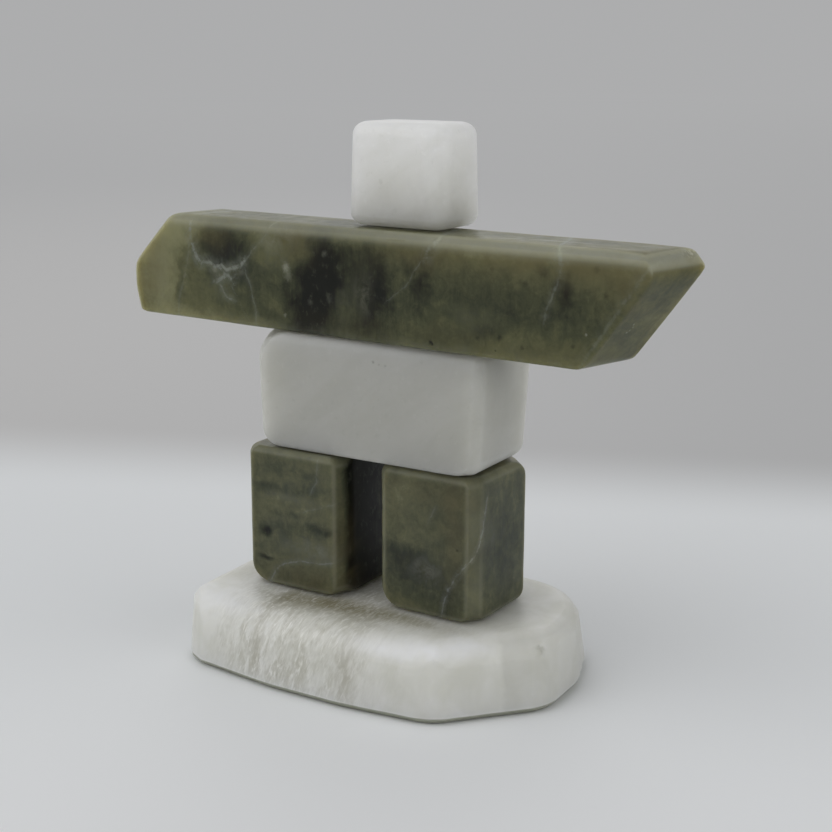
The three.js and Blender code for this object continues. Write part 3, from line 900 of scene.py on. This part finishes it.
# %% [markdown]
# ## The torso
# The torso is the plainest block, with three pinholes near its upper left corner. It gets a little
# painted shade towards its foot, where less light comes out again. Its tint is darker than the
# head's, partly the stone and partly painted shade under the arms. The tint is the same all over,
# so it could be part of each colour, but as one factor it is easy to match against the head.

# %% The torso
points, squares, normals, _ = skin(
    "torso", 0.5, np.array([6, 6, 6]), 2.0, 51, unevenness=0.1, wear=0.09)
# painted shade towards the foot; the low tint is partly painted shade under the arms
stone_piece("torso", points, squares, normals,
            {"shade": clouds(points, [(10, -8, 57, 60, 20, 9, 0.17)])}, white_finish(
                "white_torso", (5, 0, 0), (0.567, 0.567, 0.542), 25,
                [((-4, -12.6, 82.7), 0.3, 0.42), ((-2.3, -12.6, 82.2), 0.22, 0.3),
                 ((-0.5, -12.5, 82.1), 0.3, 0.25)]))

# %% [markdown]
# ## The head
# The head is the same stone, but smaller and whiter. As it is small, light gets through most of it,
# so light goes deeper in its finish, and its lower half gets painted shade. Its corners are facets in
# the CAD, and the skin only softens them.

# %% The head
points, squares, normals, _ = skin(
    "head", 0.5, np.array([5, 5, 5]), 0.0, 67, unevenness=0.09, wear=0.05)
# painted shade on the lower half and the lower right
head_shade = [(3, -5, 113, 40, 40, 14, 0.5), (12, -6, 114, 7, 12, 8, 0.14)]
stone_piece("head", points, squares, normals,
            {"shade": clouds(points, head_shade)}, white_finish(
                "white_head", (0, 20, 9), (0.94, 0.94, 0.925), 45,
                [((-3.7, -9.5, 126), 0.5, 0.14), ((0.4, -9.6, 119.6), 0.6, 0.1)]))

# %% [markdown]
# ## The streaked base
# The base is a fibrous white stone, like satin spar. Its fibres lie in sheets that stand across the
# long side, so the front shows upright wisps and the top shows lines running from front to back.
# Curves could draw each fibre, but there are thousands. One noise, squeezed across the sheets and
# drawn out along them, gives both sides at once. Towards the right the stone turns plain and glassy.

# %% The marks on the base
# Brownish bands in the stone; the four at z 19 on the top beside the legs are partly painted shade
# where the legs stand.
BASE_BANDS_AND_SHADE = [(-26.5, -30, 10, 2.4, 24, 14, 0.5), (0.3, -30, 9, 3.4, 20, 11, 0.5),
              (-13, -17.5, 19, 11, 5, 3, 0.95), (-26, -20, 19, 7, 5, 3, 0.5),
              (8, -15, 19, 14, 4, 3, 0.7), (-20, -4, 19, 40, 16, 3, 0.45),
              (-14, -30, 12, 9, 12, 6, 0.16)]
BASE_FIBRES = [(-22, -20, 10, 26, 60, 40, 1.0), (-48, -20, 10, 12, 60, 40, -0.5)]
BASE_SHADE = [(45, 4, 8, 14, 26, 14, 0.12), (24, -30, 4, 24, 14, 6, 0.25),
              (-50, -26, 8, 7, 10, 8, 0.3)]
# painted highlights where the upper rim reflects the sky
BASE_RIM_HIGHLIGHT = [(9, -28.5, 16.6, 8, 5, 2.2, 0.8), (20, -26, 17.4, 7, 5, 2.0, 0.9),
              (28, -19, 17.8, 6, 5, 1.8, 0.8), (-42, -26, 17.5, 12, 7, 3, 0.9)]
BASE_CHIP = (40.2, -6.8, 14.8)


def fibres_and_bands(spar, sheets, wisps):
    """White stone with grey and bright fibres and brownish bands in it, partly painted shade beside the
    legs.
    """
    patches = spar.noise(5, 4, 0.6, 0.8, spar.stretch(sheets, (1, 1.3, 1.3)))
    broad = spar.noise(9, 3, 0.5, 0.5)
    fibres = spar.mark("fibres")
    fibrous = spar.times(fibres, spar.fade(patches, 0.3, 0.65, 0.35, 1))
    colour = spar.mix(spar.fade(broad, 0.3, 0.7), srgb(220, 220, 215), srgb(232, 232, 230))
    wash = spar.times(spar.fade(patches, 0.38, 0.66, 0, 0.6), fibres)
    colour = spar.mix(wash, colour, srgb(192, 190, 180))
    # bands of the stone, and painted shade on the top beside the legs
    band = spar.times(spar.mark("band"), spar.fade(wisps, 0.62, 0.38, 0.6, 0.9))
    colour = spar.mix(band, colour, srgb(136, 130, 105))
    shade = spar.times(spar.fade(wisps, 0.5, 0.33), fibrous)
    colour = spar.mix(spar.times(shade, 0.55), colour, srgb(176, 173, 160))
    light = spar.times(spar.fade(wisps, 0.47, 0.66, 0, 0.9), fibrous)
    light = spar.times(light, spar.fade(band, 0.1, 0.8, 1, 0.5))
    return spar.mix(light, colour, srgb(250, 250, 249))


print("bands in the base:", len(BASE_BANDS_AND_SHADE))

# %% [markdown]
# ## The surface of the base
# Over the fibres lie the broad tones: painted shade on the sides, painted highlights on the upper rim,
# a plain grey face on the right, a painted glow along the edges where light gets through, and a thin
# line of painted shade on the recessed bevel at the foot. The chip is cut into the skin and only
# given a little painted shade here, because a painted chip would look flat from the side.

# %% The streaked finish
BROAD_TONES = [("shade", 0.5, srgb(186, 184, 178)), ("rim_highlight", 0.6, srgb(247, 248, 255)),
               ("plain", 0.4, srgb(190, 190, 185))]


def streaked_finish(name):
    """The base's stone, from the fibres in it to the painted shade at its foot."""
    spar = StoneFinish(name)
    sheets = spar.stretch(spar.turned(spar.place, "Y", -14), (1, 0.3, 0.3))
    thick = spar.noise(0.95, 4, 0.62, 0.7, sheets)
    thin = spar.noise(0.45, 3, 0.6, 0.5, spar.stretch(sheets, (1, 0.7, 0.7), (3, 0, 9)))
    wisps = spar.math("ADD", spar.times(thick, 0.68), spar.times(thin, 0.32))
    colour = fibres_and_bands(spar, sheets, wisps)
    for mark, strength, tint in BROAD_TONES:
        colour = spar.mix(spar.times(spar.mark(mark), strength), colour, tint)
    # painted shade inside the chip, left out on the part where light falls in
    lit_part = spar.fade(spar.spot((39.9, -7.1, 14.5), 1.3, 0.5), 0, 1, 0.35, 0)
    chip_shade = spar.times(spar.spot((40.5, -6.2, 15.4), 1.2, 0.3), lit_part)
    colour = spar.mix(chip_shade, colour, srgb(164, 165, 157))
    # painted glow along the real edges, where light gets through the thin stone
    rim = spar.fade(spar.mark("edge"), 0.0, 1.1, 0.3, 0)
    colour = spar.mix(rim, colour, srgb(246, 246, 245))
    # painted shade on the recessed bevel under the base's foot
    foot = spar.fade(spar.parts(spar.place)[2], 1.95, 1.55, 0, 0.8)
    colour = spar.mix(foot, colour, srgb(132, 134, 112))
    spar.surface("Base Color", spar.stretch(colour, (0.92, 0.92, 0.89)))
    spar.surface("Roughness", spar.fade(wisps, 0.3, 0.7, 0.46, 0.34))
    spar.bump([(spar.noise(0.35, 3, 0.6), 0.01), (wisps, 0.03)])
    spar.glow(1.0, 15, (1.0, 0.98, 0.9))
    return spar.done()


print("broad tones on the base:", ", ".join(mark for mark, _, _ in BROAD_TONES))

# %% [markdown]
# ## The base
# The base is ground to a low slab with slanting sides, and a chip has broken out of its front right
# corner. A boolean could cut the chip, but then the skin's even squares would be lost, so the skin
# dips there instead. The plain grey face starts at an upright plane through the stone, which is told
# by a point on it and the way it faces.

# %% The base
PLAIN_FROM, PLAIN_WAY = np.array([34.6, -14.3]), np.array([0.656, 0.755])
BASE_TOP = 19

points, squares, normals, edge = skin(
    "base", 0.55, np.array([24, 17, 6]), 0.0, 83, unevenness=0.14, wear=0.12,
    dents=[(BASE_CHIP, 2.0, 1.0, (-0.35, -0.6, -0.7)), ((-18, -31.5, 17.5), 2.0, 0.12)])
right_of = (points[:, :2] - PLAIN_FROM) @ PLAIN_WAY + 0.25 * swells(points, 3, 5)
plain = np.clip(0.5 + right_of, 0, 1) * np.clip(BASE_TOP - points[:, 2], 0, 1)
marks = {"band": clouds(points, BASE_BANDS_AND_SHADE, 0.5), "edge": edge, "plain": plain,
         "fibres": np.clip(clouds(points, BASE_FIBRES), 0, 1),
         "shade": np.clip(clouds(points, BASE_SHADE), 0, 1), "rim_highlight": clouds(points, BASE_RIM_HIGHLIGHT, 0.5)}
stone_piece("base", points, squares, normals, marks,
            streaked_finish("streaked_base"))

# %% [markdown]
# ## The floor
# The ornament stands on a pale sheet. Beyond it the floor is painted grey, as painted shade where a
# wall would get less light, and a little lighter to the left, as painted light. The sheet could be a
# mesh of its own, but its border is out of focus, so it is only a soft change of colour here. Far out
# the floor turns into the glow of the walls, so no line shows where it ends.

# %% The floor
WALL = 0.4223
ROOM_TINT = (0.985, 0.99, 1.0, 1.0)
FLOOR_REACH = 6.0
FLOOR_LEVEL = -0.00005
SHEET_TURN = -23.8
SHEET_HALF = (270, 180)
FAR_OUT = (1500, 4500)

floor_mesh = bpy.data.meshes.new("floor")
floor_mesh.from_pydata([(x * FLOOR_REACH, y * FLOOR_REACH, FLOOR_LEVEL)
                        for x, y in ((-1, -1), (1, -1), (1, 1), (-1, 1))], [], [(0, 1, 2, 3)])
floor = bpy.data.objects.new("floor", floor_mesh)
bpy.context.scene.collection.objects.link(floor)
table = Finish("pale_table")
sideways, backwards, _ = table.parts(table.turned(table.place, "Z", SHEET_TURN))
beyond = table.math("MAXIMUM", *(table.math("DIVIDE", table.math("ABSOLUTE", way), half)
                                 for way, half in zip((sideways, backwards), SHEET_HALF)))
sheet = table.mix(table.fade(backwards, -120, 20), srgb(242, 243, 244), srgb(236, 238, 239))
# painted shade on the floor beyond the sheet, lighter to the left as painted light
lit_side = table.times(table.fade(sideways, 200, -300), table.fade(backwards, 1500, 300))
painted_far_floor = table.mix(lit_side, srgb(190, 190, 190), srgb(203, 202, 201))
table.surface("Base Color", table.mix(table.fade(beyond, 0.74, 1.26), sheet, painted_far_floor))
table.surface("Roughness", 0.7)
distance = table.nodes.new("ShaderNodeVectorMath")
distance.operation = "LENGTH"
table.feed(distance.inputs[0], table.place)
wall_glow = table.nodes.new("ShaderNodeEmission")
wall_glow.inputs["Color"].default_value = ROOM_TINT
wall_glow.inputs["Strength"].default_value = WALL
both = table.nodes.new("ShaderNodeMixShader")
table.feed(both.inputs[0], table.fade(distance.outputs["Value"], *FAR_OUT))
table.feed(both.inputs[1], table.shader.outputs[0])
table.feed(both.inputs[2], wall_glow.outputs[0])
table.feed(table.nodes["Material Output"].inputs["Surface"], both.outputs[0])
floor_mesh.materials.append(table.done())

# %% [markdown]
# ## The light
# The light comes from a room: a broad high window to the left of the front, weaker windows lower down
# on the other sides, and pale walls. So the tops are bright, the sides fall off gently and shadows
# have no hard edge. Area lamps would do too, but light painted on the room itself has no borders and
# makes no noise.

# %% The light
CAMERA_TURN = math.radians(33.0)
WINDOWS = [(68, 52, 1.6), (60, 15, 0.68), (300, 15, 1.83), (180, 15, 1.32)]
WINDOW_FALLOFF = 6.0

scene = bpy.context.scene
scene.view_settings.view_transform = "Standard"
world = bpy.data.worlds.new("room")
scene.world = world
world.use_nodes = True
sky = world.node_tree.nodes
wires = world.node_tree.links


def sky_node(kind, settings, inputs):
    """Adds a node to the room's light, with values or other outputs as its inputs."""
    node = sky.new(kind)
    for key, value in settings.items():
        setattr(node, key, value)
    for index, value in inputs.items():
        if isinstance(value, bpy.types.NodeSocket):
            wires.new(value, node.inputs[index])
        else:
            node.inputs[index].default_value = value
    return node.outputs


looking = sky.new("ShaderNodeTexCoord").outputs["Generated"]
total = 0.0
for turn, height, strength in WINDOWS:
    turn, height = CAMERA_TURN - math.radians(turn), math.radians(height)
    centre = (math.sin(turn) * math.cos(height), -math.cos(turn) * math.cos(height), math.sin(height))
    towards = sky_node("ShaderNodeVectorMath", {"operation": "DOT_PRODUCT"},
                       {0: looking, 1: centre})["Value"]
    falloff = sky_node("ShaderNodeMath", {"operation": "MULTIPLY_ADD"},
                       {0: towards, 1: WINDOW_FALLOFF, 2: -WINDOW_FALLOFF})[0]
    glow = sky_node("ShaderNodeMath", {"operation": "EXPONENT"}, {0: falloff})[0]
    total = sky_node("ShaderNodeMath", {"operation": "MULTIPLY_ADD"},
                     {0: glow, 1: strength, 2: total})[0]
height = sky_node("ShaderNodeSeparateXYZ", {}, {0: looking})["Z"]
above = sky_node("ShaderNodeMapRange", {"interpolation_type": "SMOOTHSTEP"},
                 {0: height, 1: 0.03, 2: 0.2})[0]
strength = sky_node("ShaderNodeMix", {"data_type": "FLOAT"}, {0: above, 2: WALL, 3: total})[0]
sky["Background"].inputs["Color"].default_value = ROOM_TINT
wires.new(strength, sky["Background"].inputs["Strength"])
print("windows in the room:", len(WINDOWS))

# %% [markdown]
# ## The camera
# The camera stands to the right of the front and a little above, about 0.4 m away. Its place and lens
# follow from where the long edges of the blocks run to in the picture. A track-to constraint would aim
# it, but a matrix made from three directions also holds the slight roll.

# %% The camera
CAMERA_PLACE = (0.19512, -0.29993, 0.15697)
SENSOR_WIDTH, FOCAL_LENGTH = 36, 36 * 1465 / 832

azimuth, elevation, roll = CAMERA_TURN, math.radians(14.1), math.radians(0.2)
back = np.array([math.sin(azimuth) * math.cos(elevation), -math.cos(azimuth) * math.cos(elevation),
                 math.sin(elevation)])
level = np.array([math.cos(azimuth), math.sin(azimuth), 0])
upright = np.cross(back, level)
right = math.cos(roll) * level + math.sin(roll) * upright
up = math.cos(roll) * upright - math.sin(roll) * level
camera = bpy.data.objects.new("camera", bpy.data.cameras.new("camera"))
scene.collection.objects.link(camera)
camera.data.sensor_width = SENSOR_WIDTH
camera.data.lens = FOCAL_LENGTH
camera.matrix_world = Matrix([[right[i], up[i], back[i], CAMERA_PLACE[i]] for i in range(3)]
                             + [[0, 0, 0, 1]])
scene.camera = camera
print("the camera's lens in mm:", round(camera.data.lens, 1))

# %% [markdown]
# ## The size
# The dressed stones must stay inside the CAD model's box, or the part would be another size than its
# drawing says.
